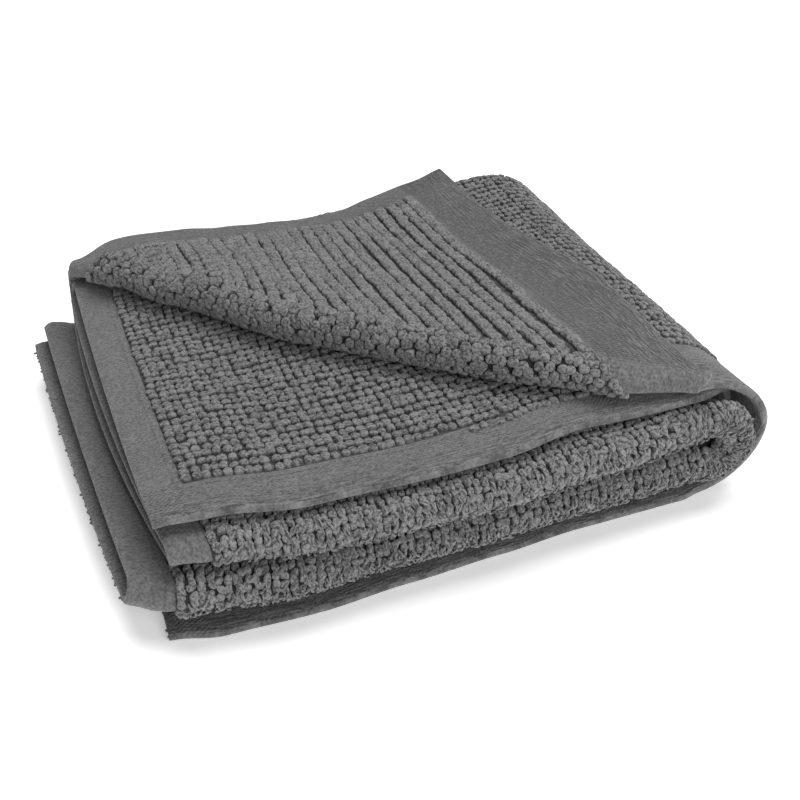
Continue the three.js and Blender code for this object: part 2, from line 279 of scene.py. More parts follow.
def on_top(x, y, height):
    depth = y / BACK_Y
    sag = END_SAG * smooth_step(END_SAG_FROM, END_X, x) * np.maximum(0, 1 - np.maximum(0, y) / END_SAG_DEPTH)
    return np.stack(
        np.broadcast_arrays(
            x + END_LEAN * depth ** 2 * (x / END_X),
            y + edge_at("back", x) * depth,
            TOP_Z + height - sag - droop_at(7, np.maximum(0, x)),
        ),
        axis=-1,
    )


def flat_top(u, v):
    across, _, _, _, bulge = turn_at(u, v)
    shift = bulge * np.maximum(0, 1 - across / FLAT_SHIFT) ** 2
    return on_top(u - ACROSS[0] * shift, v - ACROSS[1] * shift, np.zeros_like(shift))


def roll_top(u, v, share):
    _, foot_x, foot_y, radius, bulge = turn_at(u, v)
    angle = np.pi * share
    shift = -bulge - radius * np.sin(angle)
    height = radius * (1 - np.cos(angle))
    place = on_top(foot_x + ACROSS[0] * shift, foot_y + ACROSS[1] * shift, height)
    place[..., 0] += share * end_bow(foot_x)
    return place


def end_bow(u):
    """How far the turned corner reaches over the end fold."""
    return TURN_END_X * np.clip(u / END_X, 0, 1) ** 4


def smooth_step(low, high, x):
    t = np.clip((x - low) / (high - low), 0, 1)
    return t * t * (3 - 2 * t)


def turned_top(u, v):
    across, foot_x, foot_y, radius, bulge = turn_at(u, v)
    far = -across
    shift = far * TURN_REACH - bulge * np.maximum(0, 1 - far / BULGE_SHIFT)
    near = np.exp(-((far / TURN_SETTLE) ** 2))
    inside = smooth_step(SIDE_HEM - HEM_EASE, SIDE_HEM + HEM_EASE, u)
    inside = inside * smooth_step(TOP_HEM - HEM_EASE, TOP_HEM + HEM_EASE, v)
    height = blend(blend(HEM_REST, PITCH, inside), 2 * radius, near)
    tip = TIP_RISE * np.maximum(0, 1 - np.hypot(u, v) / TIP_LENGTH) ** 2
    left_bow = lookup(LEFT_BOW_AT, LEFT_BOW, v) * np.maximum(0, 1 - u / LEFT_BOW_SPAN)
    left_bow = left_bow * smooth_step(0, LEFT_BOW_START, far)
    right_bow = RIGHT_BOW * np.sin(np.pi * u / END_X) * np.maximum(0, 1 - v / RIGHT_BOW_SPAN)
    right_bow = right_bow + lookup(BAND_EDGE_AT, BAND_EDGE, u) * np.maximum(0, 1 - v / BAND_EDGE_SPAN)
    droop = BAND_DROOP * np.maximum(0, 1 - v / TOP_HEM) * smooth_step(BAND_DROOP_FROM, BAND_DROOP_TO, u)
    place = on_top(foot_x, foot_y, height + tip - droop)
    over_end = end_bow(u) * np.maximum(0, 1 - v / RIGHT_BOW_SPAN)
    place[..., 0] += ACROSS[0] * shift + right_bow + over_end
    place[..., 1] += ACROSS[1] * shift - left_bow
    return place


# Wave lengths and heights of the unevenness
WAVE_X = 19.0
WAVE_Y = 26.0
RIPPLE_X = 11.0
RIPPLE_Y = 15.0
RIPPLE_SHARE = 0.7
WAVE_HEIGHT = 0.55
WAVE_FULL_Z = 55.0
WAVE_MOST = 1.1


def soften(points):
    """Slow unevenness of the stack, none at the base."""
    x = points[..., 0]
    y = points[..., 1]
    z = points[..., 2]
    wave = np.sin(x / WAVE_X + 0.6) * np.sin(y / WAVE_Y + 1.1)
    wave = wave + RIPPLE_SHARE * np.sin(x / RIPPLE_X + y / RIPPLE_Y + 2.0)
    out = points.copy()
    out[..., 2] += WAVE_HEIGHT * wave * np.clip(z / WAVE_FULL_Z, 0, WAVE_MOST)
    return out


# Column and row positions of the cloth's grid
def spread(marks, step):
    """The marks, with even steps between them."""
    out = [marks[0]]
    for a, b in zip(marks, marks[1:]):
        count = max(1, int(round((b - a) / step)))
        out.extend(a + (b - a) * k / count for k in range(1, count + 1))
    return np.array(out)


def mirrored(v):
    return END_X * (1 - v / BACK_Y)


GRID_STEP = 3.4
RIM_MARKS = [0.5, 1.3]
HEM_MARK = 2.4
across_list = spread(
    [0] + RIM_MARKS
    + [SIDE_HEM - HEM_MARK, SIDE_HEM - HEM_STEP / 2, SIDE_HEM + HEM_STEP / 2]
    + [TURNED_SIDE_HEM - HEM_STEP / 2, TURNED_SIDE_HEM + HEM_STEP / 2]
    + [mirrored(v) for v in (TOP_HEM + HEM_STEP / 2, TOP_HEM - HEM_STEP / 2, TOP_HEM - HEM_MARK)]
    + [mirrored(v) for v in reversed(RIM_MARKS)]
    + [END_X],
    GRID_STEP,
)
LAST = len(across_list) - 1
top_rows = BACK_Y * (1 - across_list / END_X)
FOLD_COLUMNS = 22
ROLL_STEPS = 12

column_u = np.concatenate([
    across_list[:-1],
    END_X + FOLD_SPAN * np.arange(FOLD_COLUMNS) / FOLD_COLUMNS,
    U_TOTAL - across_list[::-1],
])
first_top_column = LAST + FOLD_COLUMNS
column_half, column_x, _ = split_u(column_u)

# Rows along the cloth: leg or fold, place in it, length from the inner end, and hem if it has one
LEG_ROWS = 22
INNER_STEPS = 8
FRONT_STEPS = 10
OUTER_STEPS = 14
FOLD_LENGTH = 11.4
TWO_FOLDS = 22.8
OUTER_LENGTH = 34.2
ALL_FOLDS = 57.0
inner_marks = [INNER_HEM - HEM_MARK, INNER_HEM - HEM_STEP / 2, INNER_HEM + HEM_STEP / 2, BACK_Y]
row_list = []
for v in spread([0] + RIM_MARKS + inner_marks, GRID_STEP):
    row_list.append(("inner", v / BACK_Y, v, INNER_HEM))
for k in range(1, INNER_STEPS):
    row_list.append(("inner>two:back", k / INNER_STEPS, BACK_Y + FOLD_LENGTH * k / INNER_STEPS, None))
for depth in np.linspace(1, 0, LEG_ROWS):
    row_list.append(("two", depth, BACK_Y * (2 - depth) + FOLD_LENGTH, None))
for k in range(1, FRONT_STEPS):
    length = 2 * BACK_Y + FOLD_LENGTH + FOLD_LENGTH * k / FRONT_STEPS
    row_list.append(("two>one:front", k / FRONT_STEPS, length, None))
for depth in np.linspace(0, 1, LEG_ROWS):
    row_list.append(("one", depth, BACK_Y * (2 + depth) + TWO_FOLDS, None))
for k in range(1, OUTER_STEPS):
    length = 3 * BACK_Y + TWO_FOLDS + OUTER_LENGTH * k / OUTER_STEPS
    row_list.append(("one>outer:back", k / OUTER_STEPS, length, None))
first_top_row = len(row_list)
for v in top_rows:
    row_list.append(("outer", v / BACK_Y, 4 * BACK_Y + ALL_FOLDS - v, TOP_HEM))
ROWS = len(row_list)
COLUMNS = len(column_u)

# Distance inside the hem from its inner edge, negative in the terry, and distance from the free edge
seam = np.zeros((ROWS, COLUMNS))
rim = np.zeros((ROWS, COLUMNS))
end_band = np.zeros((ROWS, COLUMNS))
points = np.zeros((ROWS, COLUMNS, 3))
for r, (kind, along, length, hem) in enumerate(row_list):
    wide = (kind == "outer") & (column_half == 2)
    seam[r] = np.where(wide, TURNED_SIDE_HEM, SIDE_HEM) - column_x
    rim[r] = column_x
    if hem:
        v = along * BACK_Y
        seam[r] = np.maximum(seam[r], hem - v)
        rim[r] = np.minimum(rim[r], v)
        end_band[r] = float(v <= hem)
    points[r] = stack_at(kind, np.full(COLUMNS, along), column_u)
    if kind == "outer":
        top = slice(first_top_column, COLUMNS)
        u = column_x[top]
        v = np.full(len(u), along * BACK_Y)
        turned = turn_at(u, v)[0] < -1e-6
        points[r, top] = np.where(turned[:, None], turned_top(u, v), flat_top(u, v))

grid = np.arange(ROWS * COLUMNS).reshape(ROWS, COLUMNS)
node_points = points.reshape(-1, 3)
node_seam = seam.ravel()
node_rim = rim.ravel()
node_band = end_band.ravel()
node_uv = np.stack(np.broadcast_arrays(column_u[None, :], np.array([r[2] for r in row_list])[:, None]), -1)
node_uv = node_uv.reshape(-1, 2)

# Which sides carry loops: the plus side of the outer leg and of the front and outer back folds,
# and the minus side of the top leg and of the turned corner
LOOPED_FRONT = 0.1
LOOPED_BACK = 0.97
UNDER_TURN = 18.0
plus_loops = np.zeros((ROWS, COLUMNS), bool)
minus_loops = np.zeros((ROWS, COLUMNS), bool)
for r, (kind, along, _, _) in enumerate(row_list):
    if kind in ("outer", "one>outer:back", "two>one:front"):
        plus_loops[r] = True
    if kind in ("two", "one") and along < LOOPED_FRONT:
        plus_loops[r] = True
    if kind == "one" and along > LOOPED_BACK:
        plus_loops[r] = True
    v = along * BACK_Y
    if kind == "inner":
        minus_loops[r] = (column_half == 2) & (turn_at(column_x, v)[0] < UNDER_TURN)
    if kind == "outer":
        minus_loops[r] = (column_half == 2) & (turn_at(column_x, v)[0] < 1e-6)
node_plus = plus_loops.ravel()
node_minus = minus_loops.ravel()

# The roll of the turned corner's fold: one chain of points for each column that meets it
ROLL_BAND = 0.3
# Share of the painted shade on the turned corner's side hem, beside the full share on its end band
SIDE_TURNED_PAINTED_SHADE = 0.25
chains = {}
extra = {"points": [], "seam": [], "rim": [], "band": [], "uv": [], "plus": [], "minus": []}
for i in range(LAST + 1):
    r = first_top_row + i
    c = COLUMNS - 1 - i
    u = across_list[i]
    v = top_rows[i]
    chain = [grid[r, c]]
    for k in range(1, ROLL_STEPS + 1):
        chain.append(len(node_points) + len(extra["points"]))
        extra["points"].append(roll_top(u, v, k / ROLL_STEPS))
        extra["seam"].append(seam[r, c])
        extra["rim"].append(rim[r, c])
        extra["band"].append(ROLL_BAND * end_band[r, c])
        beyond = np.pi * turn_at(u, v)[3] * (1 - k / ROLL_STEPS)
        length = 4 * BACK_Y + ALL_FOLDS - v
        extra["uv"].append((U_TOTAL - u - ACROSS[0] * beyond, length - ACROSS[1] * beyond))
        extra["plus"].append(True)
        extra["minus"].append(True)
    chains[i] = chain
node_points = np.concatenate([node_points, np.array(extra["points"])])
node_seam = np.concatenate([node_seam, extra["seam"]])
node_rim = np.concatenate([node_rim, extra["rim"]])
node_band = np.concatenate([node_band, extra["band"]])
node_corner = np.concatenate([(end_band * (column_x < SIDE_HEM)).ravel(), np.zeros(len(extra["band"]))])
# Painted shade on the hems of the turned corner: in full on its end band, in part on its side hem
steps_left = COLUMNS - 1 - np.arange(COLUMNS)[None, :]
steps_front = first_top_row + LAST - np.arange(ROWS)[:, None]
turned_node = (steps_left + steps_front < LAST) & (steps_left <= LAST) & (steps_front <= LAST)
turned_hem_painted_shade = np.maximum(end_band, SIDE_TURNED_PAINTED_SHADE * (column_x < TURNED_SIDE_HEM)) * turned_node
node_turned_painted_shade = np.concatenate([turned_hem_painted_shade.ravel(), np.zeros(len(extra["band"]))])
node_uv = np.concatenate([node_uv, np.array(extra["uv"])])
node_plus = np.concatenate([node_plus, extra["plus"]])
node_minus = np.concatenate([node_minus, extra["minus"]])
node_points = soften(node_points)

# Faces of the sheet, with the roll between the flat part and the turned corner
quads = []
for r in range(ROWS - 1):
    for c in range(COLUMNS - 1):
        a, b, d, e = grid[r, c], grid[r, c + 1], grid[r + 1, c + 1], grid[r + 1, c]
        if r < first_top_row or c < first_top_column:
            quads.append((a, b, d, e))
            continue
        i_right = COLUMNS - 1 - c
        j_low = first_top_row + LAST - (r + 1)
        total = (i_right - 1) + j_low
        if total >= LAST:
            quads.append((a, b, d, e))
        elif total < LAST - 1:
            corner = []
            for rr, cc in ((r, c), (r, c + 1), (r + 1, c + 1), (r + 1, c)):
                i = COLUMNS - 1 - cc
                j = first_top_row + LAST - rr
                corner.append(chains[i][ROLL_STEPS] if i + j == LAST else grid[rr, cc])
            quads.append(tuple(corner))
        else:
            right = chains[i_right]
            left = chains[i_right - 1]
            quads.append((a, left[0], right[0]))
            for k in range(ROLL_STEPS):
                quads.append((left[k], left[k + 1], right[k + 1], right[k]))
            quads.append((left[ROLL_STEPS], d, right[ROLL_STEPS]))

normals = np.zeros_like(node_points)
for size in (3, 4):
    block = np.array([q for q in quads if len(q) == size])
    p = node_points[block]
    area = np.cross(p[:, 1] - p[:, 0], p[:, 2] - p[:, 0])
    if size == 4:
        area = area + np.cross(p[:, 2] - p[:, 0], p[:, 3] - p[:, 0])
    for k in range(size):
        np.add.at(normals, block[:, k], area)
normals /= np.linalg.norm(normals, axis=1)[:, None]

# Thickness: hems are even with rounded rims, and terry is thinner where loops stand on it
RIM_ROUND = 1.1
RIM_THIN = 0.45
rounded = np.sqrt(np.clip(1 - (1 - np.clip(node_rim / RIM_ROUND, 0, 1)) ** 2, RIM_THIN, 1))
hem_half = HEM / 2 * rounded
in_hem = node_seam >= 0


def half_thickness(has_loops):
    return np.where(in_hem, hem_half, np.where(has_loops, GROUND, FILLED))


upper = node_points + normals * half_thickness(node_plus)[:, None]
lower = node_points - normals * half_thickness(node_minus)[:, None]
count = len(node_points)
cloth_points = np.concatenate([upper, lower])
cloth_points[:, 2] = np.maximum(cloth_points[:, 2], 0)

faces = []
edge_count = {}
for q in quads:
    faces.append(tuple(int(n) for n in q))
    faces.append(tuple(int(n) + count for n in reversed(q)))
    for a, b in zip(q, q[1:] + q[:1]):
        edge_count[(int(a), int(b))] = True
for a, b in list(edge_count):
    if (b, a) not in edge_count:
        faces.append((b, a, a + count, b + count))


def mesh_object(name, vertices, polygons, smooth=True):
    mesh = bpy.data.meshes.new(name)
    mesh.from_pydata(((vertices - CENTRE) / 1000).tolist(), [], polygons)
    mesh.polygons.foreach_set("use_smooth", [smooth] * len(mesh.polygons))
    obj = bpy.data.objects.new(name, mesh)
    bpy.context.scene.collection.objects.link(obj)
    return obj


def point_attribute(mesh, name, values):
    layer = mesh.attributes.new(name, "FLOAT", "POINT")
    layer.data.foreach_set("value", np.asarray(values, np.float32))


def loop_uv(mesh, values):
    layer = mesh.uv_layers.new(name="weave")
    index = np.zeros(len(mesh.loops), np.int32)
    mesh.loops.foreach_get("vertex_index", index)
    layer.data.foreach_set("uv", (values[index]).astype(np.float32).ravel())


cloth = mesh_object("towel_cloth", cloth_points, faces)
point_attribute(cloth.data, "seam", np.concatenate([node_seam, node_seam]))
point_attribute(cloth.data, "end_hem", np.concatenate([node_band, node_band]))
point_attribute(cloth.data, "corner", np.concatenate([node_corner, node_corner]))
# The turned attribute carries the painted shade of the turned corner's hems
point_attribute(cloth.data, "turned", np.concatenate([node_turned_painted_shade, node_turned_painted_shade]))
loop_uv(cloth.data, np.concatenate([node_uv, node_uv]) / 1000)


# Loops of the pile
def frames(place, a, b, step_a=0.4, step_b=0.4):
    """Middle position and unit directions of a patch at its two parameters."""
    middle = soften(place(a, b))
    ta = soften(place(a + step_a, b)) - soften(place(a - step_a, b))
    tb = soften(place(a, b + step_b)) - soften(place(a, b - step_b))
    ta /= np.linalg.norm(ta, axis=1)[:, None]
    normal = np.cross(ta, tb)
    normal /= np.linalg.norm(normal, axis=1)[:, None]
    tb = np.cross(normal, ta)
    return middle, ta, tb, normal


# How far rows wander, and how far loops stand out of line along and across their row
WANDER = 0.35
WANDER_LENGTH = 23.0
WIGGLE = 0.2
WIGGLE_LENGTH = 9.0
LOOSE_ALONG = 0.2
LOOSE_ACROSS = 0.16


def lattice(u0, u1, v0, v1, pitch=LOOP_PITCH, row_pitch=ROW_PITCH, loose=1.0):
    """Loop positions in rows, a little out of line."""
    us = []
    vs = []
    rows = max(1, int((v1 - v0) / row_pitch))
    for k in range(rows):
        v = v0 + (k + 0.5) * (v1 - v0) / rows
        n = max(1, int((u1 - u0) / pitch))
        u = u0 + (np.arange(n) + 0.5) * (u1 - u0) / n
        drift = WANDER * np.sin(u / WANDER_LENGTH + k * 1.7) + WIGGLE * np.sin(u / WIGGLE_LENGTH + k)
        us.append(u + rng.normal(0, LOOSE_ALONG * loose, n))
        vs.append(v + drift + rng.normal(0, LOOSE_ACROSS * loose, n))
    return np.concatenate(us), np.concatenate(vs)


# Loops as rounded beads: half sizes along and across the row, height above the cloth, squareness, how
# much one end narrows, lean of the strands in degrees, sides, turn about the normal and unevenness
STYLE_TOP = {
    "ru": 1.7, "rv": 1.76, "height": 1.5, "square": 2.4, "taper": 0.2,
    "lean": (35, 95), "segments": 10, "yaw": 0.26, "vary": 1.4,
}
STYLE_FLAP = {
    "ru": 2.8, "rv": 2.48, "height": 1.75, "square": 2.6, "taper": 0.04,
    "lean": (68, 100), "segments": 10, "yaw": 0.05, "vary": 0.5,
}
STYLE_ROLL = {
    "ru": 1.98, "rv": 2.2, "height": 1.8, "square": 2.6, "taper": 0.08,
    "lean": (20, 90), "segments": 10, "yaw": 0.16, "vary": 0.9,
}
STYLE_FOLD = {
    "ru": 1.36, "rv": 1.95, "height": 1.7, "square": 2.0, "taper": 0.35,
    "lean": (0, 25), "segments": 8, "yaw": 0.5, "vary": 1.3,
}
STYLE_REAR = {
    "ru": 1.5, "rv": 1.95, "height": 1.35, "square": 2.2, "taper": 0.25,
    "lean": (0, 40), "segments": 8, "yaw": 0.5, "vary": 1.4,
}
STYLE_BASE = {
    "ru": 1.95, "rv": 2.36, "height": 1.5, "square": 2.6, "taper": 0.1,
    "lean": (20, 80), "segments": 8, "yaw": 0.13, "vary": 1.0,
}
ROLL_PITCH = 3.9
ROLL_ROWS = 7
FRONT_PITCH = 2.75
PRESSED_HEIGHT = 0.7
RING_SCALE = np.array([0.98, 1.0, 0.95, 0.78, 0.42])
RING_HEIGHT = np.array([-0.2, 0.42, 0.78, 0.96, 1.0])
STRAND_SIDES = 4

# Spread of size, tilt, outline, height, surface and shade among the beads, and of their place in the yarn
GROW = (-0.1, 0.08)
TILT = 0.1
WOBBLE = 0.05
TALLER = (-0.14, 0.1)
RING_WOBBLE = 0.03
SHADE_SPREAD = 0.08
YARN_SPREAD = 40


def bead_set(middle, ta, tb, normal, style):
    """Closed rounded beads on a patch of cloth: points, polygons of one bead, shades and flat places."""
    n = len(middle)
    segments = style["segments"]
    rings = len(RING_SCALE)
    vary = style["vary"]
    grow = 1 + vary * rng.uniform(*GROW, (n, 2))
    yaw = rng.normal(0, style["yaw"], n)[:, None]
    way_u = ta * np.cos(yaw) + tb * np.sin(yaw)
    way_v = np.cross(normal, way_u)
    tilt = rng.normal(0, TILT * vary, (n, 2))
    up = normal + ta * tilt[:, :1] + tb * tilt[:, 1:]
    up /= np.linalg.norm(up, axis=1)[:, None]
    ground = middle + normal * GROUND
    angle = 2 * np.pi * np.arange(segments) / segments
    power = 2 / style["square"]
    flat_u = np.sign(np.cos(angle)) * np.abs(np.cos(angle)) ** power
    flat_v = np.sign(np.sin(angle)) * np.abs(np.sin(angle)) ** power
    flat_u = flat_u * (1 - style["taper"] * flat_v)
    wobble = 1 + rng.normal(0, WOBBLE, (n, 1, segments))
    scale = RING_SCALE[None, :, None] * wobble
    local_u = scale * flat_u * (style["ru"] * grow[:, 0])[:, None, None]
    local_v = scale * flat_v * (style["rv"] * grow[:, 1])[:, None, None]
    tall = style["height"] * (1 + vary * rng.uniform(*TALLER, n))
    uneven = 1 + rng.normal(0, RING_WOBBLE, (n, rings, segments))
    local_h = RING_HEIGHT[None, :, None] * tall[:, None, None] * uneven
    local_u = np.concatenate([local_u.reshape(n, -1), np.zeros((n, 1))], 1)
    local_v = np.concatenate([local_v.reshape(n, -1), np.zeros((n, 1))], 1)
    local_h = np.concatenate([local_h.reshape(n, -1), tall[:, None]], 1)
    vertices = (
        ground[:, None, :]
        + way_u[:, None, :] * local_u[:, :, None]
        + way_v[:, None, :] * local_v[:, :, None]
        + up[:, None, :] * local_h[:, :, None]
    )
    polygons = []
    for r in range(rings - 1):
        for k in range(segments):
            m = (k + 1) % segments
            a = r * segments
            polygons.append([a + k, a + m, a + segments + m, a + segments + k])
    last = (rings - 1) * segments
    for k in range(segments):
        polygons.append([last + k, last + (k + 1) % segments, rings * segments])
    polygons.append(list(range(segments))[::-1])
    low, high = style["lean"]
    lean = np.radians(rng.uniform(low, high, n)) * rng.choice([-1, 1], n)
    strand_x = local_u * np.cos(lean)[:, None] - local_v * np.sin(lean)[:, None]
    strand_y = local_u * np.sin(lean)[:, None] + local_v * np.cos(lean)[:, None]
    flat = np.stack([strand_x, strand_y], -1) + rng.uniform(0, YARN_SPREAD, (n, 1, 2))
    return vertices, polygons, rng.normal(0, SHADE_SPREAD, n), flat


# A direction that no strand follows, the steps of the yarn's pattern on a strand, and its shade
STRAND_ASIDE = np.array([0.31, 0.22, 0.92])
STRAND_STEP_ROUND = 0.6
STRAND_STEP_ALONG = 0.8
STRAND_SHADE = 0.05


def strand_set(lines, radius):
    """Closed thin tubes along short lines of points."""
    n, rings, _ = lines.shape
    tangent = np.gradient(lines, axis=1)
    tangent /= np.linalg.norm(tangent, axis=2)[:, :, None]
    side = np.cross(tangent, STRAND_ASIDE)
    side /= np.linalg.norm(side, axis=2)[:, :, None]
    up = np.cross(tangent, side)
    angles = 2 * np.pi * np.arange(STRAND_SIDES) / STRAND_SIDES
    vertices = lines[:, :, None, :] + radius * (
        side[:, :, None, :] * np.cos(angles)[:, None] + up[:, :, None, :] * np.sin(angles)[:, None]
    )
    polygons = []
    for r in range(rings - 1):
        for k in range(STRAND_SIDES):
            m = (k + 1) % STRAND_SIDES
            a = r * STRAND_SIDES
            polygons.append([a + k, a + m, a + STRAND_SIDES + m, a + STRAND_SIDES + k])
    polygons.append(list(range(STRAND_SIDES))[::-1])
    polygons.append([(rings - 1) * STRAND_SIDES + k for k in range(STRAND_SIDES)])
    step_round = np.arange(STRAND_SIDES)[None, :] * STRAND_STEP_ROUND
    step_along = np.arange(rings)[:, None] * STRAND_STEP_ALONG
    flat = np.stack(np.broadcast_arrays(step_round, step_along), -1)
    flat = np.tile(flat.reshape(1, -1, 2), (n, 1, 1)) + rng.uniform(0, YARN_SPREAD, (n, 1, 2))
    return vertices.reshape(n, -1, 3), polygons, rng.normal(STRAND_SHADE, SHADE_SPREAD, n), flat


FLOOR_GAP = 0.02


def pile_mesh(name, *sets):
    """One mesh of all the beads and strands of the sets."""
    all_points = []
    all_polygons = []
    all_shades = []
    all_flat = []
    start = 0
    for vertices, polygons, shades, flat in sets:
        n, per, _ = vertices.shape
        for size in sorted({len(q) for q in polygons}):
            block = np.array([q for q in polygons if len(q) == size])
            block = block[None] + (start + np.arange(n) * per)[:, None, None]
            all_polygons.extend(block.reshape(-1, size).tolist())
        all_points.append(vertices.reshape(-1, 3))
        all_shades.append(np.repeat(shades, per))
        all_flat.append(flat.reshape(-1, 2))
        start += n * per
    vertices = np.concatenate(all_points)
    vertices[:, 2] = np.maximum(vertices[:, 2], FLOOR_GAP)
    obj = mesh_object(name, vertices, all_polygons)
    point_attribute(obj.data, "shade", np.concatenate(all_shades))
    loop_uv(obj.data, np.concatenate(all_flat))
    return obj


def facing(place, a, b, style, outward, steps=(0.4, 0.4)):
    """Beads on the side of a patch that faces outward, a direction or a function of the position."""
    middle, ta, tb, normal = frames(place, a, b, *steps)
    want = outward(middle) if callable(outward) else np.asarray(outward, float)
    flip = np.where((normal * want).sum(1) < 0, -1.0, 1.0)[:, None]
    normal = normal * flip
    return bead_set(middle, ta, np.cross(normal, ta), normal, style)


UP = (0, 0, 1)
DOWN = (0, 0, -1)
FRONT = (0, -1, 0)
BACK = (0, 1, 0)
STACK_MIDDLE = np.array([100, 95, 29])

# Small distance of loops from a hem
HEM_CLEAR = 0.8
SIDE_CLEAR = 1.0


def away(middle):
    return middle - STACK_MIDDLE


# The layer under the turned corner
TOP_LOOSE = 1.45
TOP_UNDER_TURN = 6.0
HEM_LINE_FROM = 60.0
HEM_LINE_TO = 150.0
u, v = lattice(
    SIDE_HEM + SIDE_CLEAR, END_X, INNER_HEM + HEM_CLEAR - TOP_ROW_PITCH, BACK_Y,
    TOP_PITCH, TOP_ROW_PITCH, TOP_LOOSE,
)
hem_line = INNER_HEM + HEM_CLEAR - TOP_ROW_PITCH * smooth_step(HEM_LINE_FROM, HEM_LINE_TO, u)
shown = (turn_at(u, v)[0] < TOP_UNDER_TURN) & (v > hem_line)
pile_top = pile_mesh("pile_top", facing(
    lambda a, b: stack_at("inner", b / BACK_Y, U_TOTAL - a), u[shown], v[shown], STYLE_TOP, UP))

# The turned corner and the roll of its fold
RIB_MARGIN = 20.0
RIB_FLAT = -0.5
RIB_OVER = 0.16
u, v = lattice(TURNED_SIDE_HEM + SIDE_CLEAR, END_X + RIB_MARGIN, TOP_HEM + HEM_CLEAR, BACK_Y + RIB_MARGIN)
across, _, _, radius, _ = turn_at(u, v)
flat = across < RIB_FLAT
over = (across >= RIB_FLAT) & (across < np.pi * radius * RIB_OVER)


def rib_place(a, b):
    far, _, _, round_radius, _ = turn_at(a, b)
    return roll_top(a, b, 1 - far / (np.pi * round_radius))


def roll_place(s, share):
    return roll_top(ALONG[0] * s, BACK_Y + ALONG[1] * s, share)


ROLL_LOOSE = 0.45
ROLL_SHARE_LOOSE = 0.014
ROLL_EXTRA = 3.5
SHARE_STEPS = (0.4, 0.012)


def roll_loops():
    """Loops packed round the roll, up to the hem's edge on the turned cloth."""
    spots = []
    shares = []
    n = int(TURN_LENGTH / ROLL_PITCH)
    for k in range(1, ROLL_ROWS):
        stagger = 0.25 + 0.5 * (k % 2)
        spots.append((np.arange(n) + stagger) * TURN_LENGTH / n + rng.normal(0, ROLL_LOOSE, n))
        shares.append((k + 0.4) / ROLL_ROWS + rng.normal(0, ROLL_SHARE_LOOSE, n))
    s = np.concatenate(spots)
    share = np.concatenate(shares)
    radius = lookup(TURN_AT, TURN_RADIUS, s / TURN_LENGTH)
    span = np.pi * (radius + GROUND)
    on_u = ALONG[0] * s + ACROSS[0] * span * (1 - share)
    on_v = BACK_Y + ALONG[1] * s + ACROSS[1] * span * (1 - share)
    kept = (on_u > SIDE_HEM + SIDE_CLEAR) & (on_v > TOP_HEM + HEM_CLEAR)
    style = dict(STYLE_ROLL, rv=0.6 * (span[kept] + ROLL_EXTRA) / ROLL_ROWS)
    return facing(roll_place, s[kept], share[kept], style, roll_out, SHARE_STEPS)


def roll_out(middle):
    out = np.zeros_like(middle)
    out[:, 0] = -ACROSS[0]
    out[:, 1] = -ACROSS[1]
    out[:, 2] = 0.6
    return out


pile_flap = pile_mesh(
    "pile_flap",
    facing(turned_top, u[flat], v[flat], STYLE_FLAP, UP),
    facing(rib_place, u[over], v[over], STYLE_FLAP, roll_out),
    roll_loops(),
)

# The end fold and the strip of the top layer that shows beside the turned corner
REAR_LOOSE = 1.5
STRIP_CLEAR = 4.0
STRIP_WIDTH = 55.0
PRESSED_FROM = 40.0
PRESSED_DEPTH = 14.0
rear_start = TOP_HEM + HEM_CLEAR
u, v = lattice(END_X, END_X + FOLD_SPAN, rear_start, BACK_Y, REAR_PITCH, REAR_ROW_PITCH, REAR_LOOSE)
fold_loops = facing(lambda a, b: stack_at("outer", b / BACK_Y, a), u, v, STYLE_REAR, away)
u, v = lattice(SIDE_HEM + SIDE_CLEAR, END_X, rear_start, BACK_Y, REAR_PITCH, REAR_ROW_PITCH, REAR_LOOSE)
open_top = turn_at(u, v)[0] > STRIP_CLEAR
strip = open_top & (u > END_X - STRIP_WIDTH)
strip_loops = facing(flat_top, u[strip], v[strip], STYLE_REAR, UP)
pressed = open_top & (u <= END_X - STRIP_WIDTH) & (u > PRESSED_FROM) & (v > BACK_Y - PRESSED_DEPTH)
pressed_loops = facing(flat_top, u[pressed], v[pressed], dict(STYLE_REAR, height=PRESSED_HEIGHT), UP)
pile_end = pile_mesh("pile_end", fold_loops, strip_loops, pressed_loops)


# Folds round the stack, with as many loops as fit at each height. Under the turned corner the loops of
# the back fold are pressed flat, above a share of the fold that is lower toward the right
PATH_POINTS = 81
FOLD_FILL = 1.12
SHARE_LOOSE = 0.02
SHARE_ENDS = (0.02, 0.98)
ROW_LOOSE = 0.3
PRESSED_LEFT = 100.0
PRESSED_RIGHT = 50.0
PRESSED_SHARE_LEFT = 0.86
PRESSED_SHARE_RIGHT = 0.76


